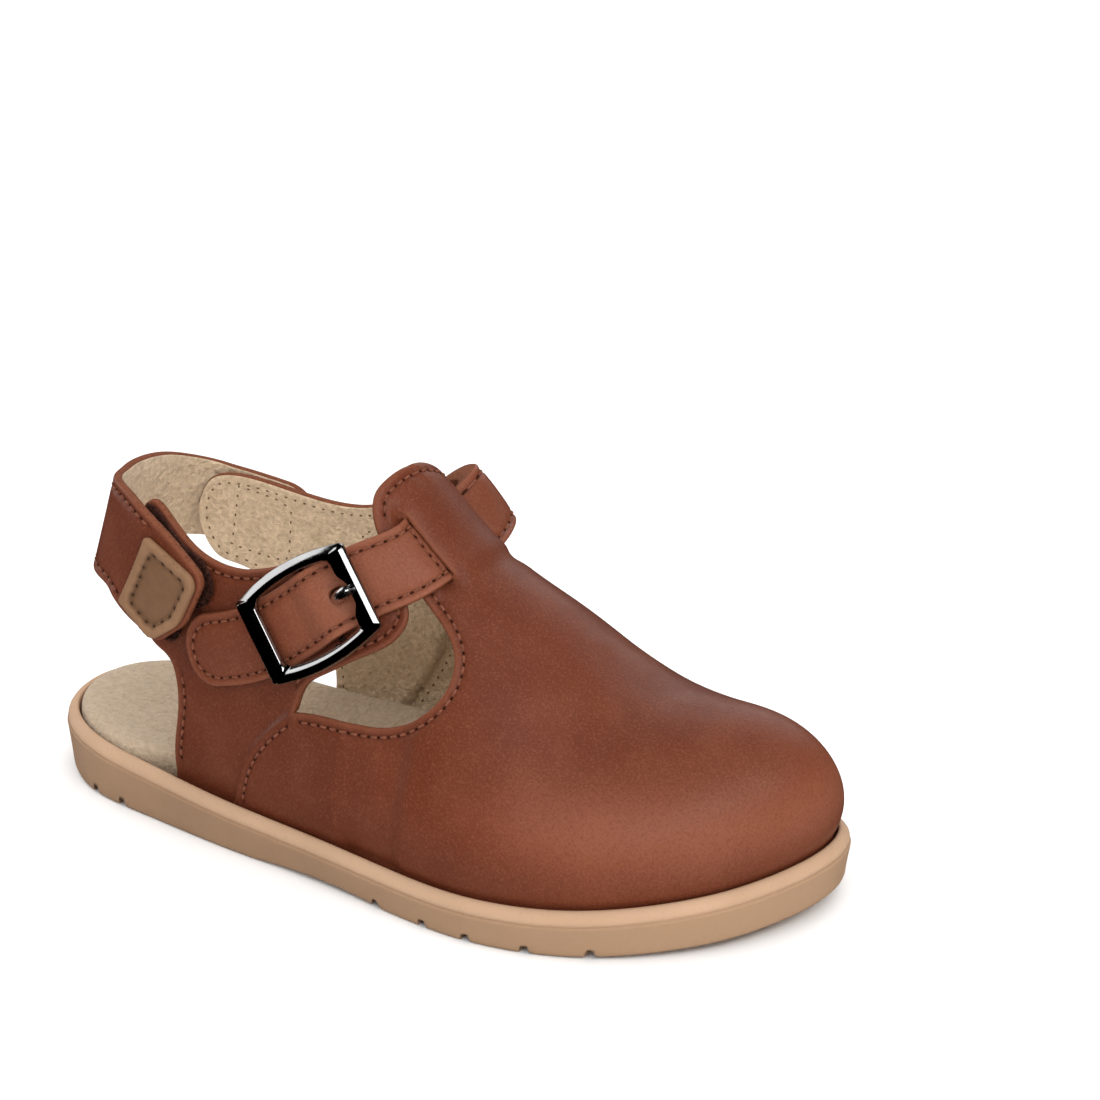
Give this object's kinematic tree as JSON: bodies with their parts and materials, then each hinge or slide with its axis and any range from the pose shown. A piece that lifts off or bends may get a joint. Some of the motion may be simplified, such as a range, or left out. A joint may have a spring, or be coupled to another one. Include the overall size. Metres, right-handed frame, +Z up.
{
  "type": "closed-toe sandal",
  "caption": "Child's closed-toe T-bar sandal for the right foot, with side cut-outs, a buckled instep strap, a sling-back heel strap and a rubber cup sole.",
  "frame": {"origin": "middle of the bounding box, on the ground plane", "axes": "+X from heel to toe, +Y to the inner (medial) side, +Z up"},
  "size_m": [0.17, 0.0766, 0.0782],
  "materials": {
    "outsole": "matte tan gum rubber",
    "insole": "beige suede over foam",
    "upper": "satin waxed brown leather",
    "instep_strap": "satin waxed brown leather",
    "heel_strap": "satin brown leather with a suede lining",
    "closure_tape": "dark brown pile",
    "heel_strap_patch": "matte moulded rubber",
    "buckle_frame": "polished black nickel",
    "buckle_prong": "polished black nickel"
  },
  "bodies": {
    "root": {"outsole": "outsole", "insole": "insole", "upper": "upper", "instep_strap": "instep_strap", "heel_strap": "heel_strap", "closure_tape": "closure_tape", "heel_strap_patch": "heel_strap_patch", "buckle_frame": "buckle_frame", "buckle_prong": "buckle_prong"}
  },
  "joints": []
}
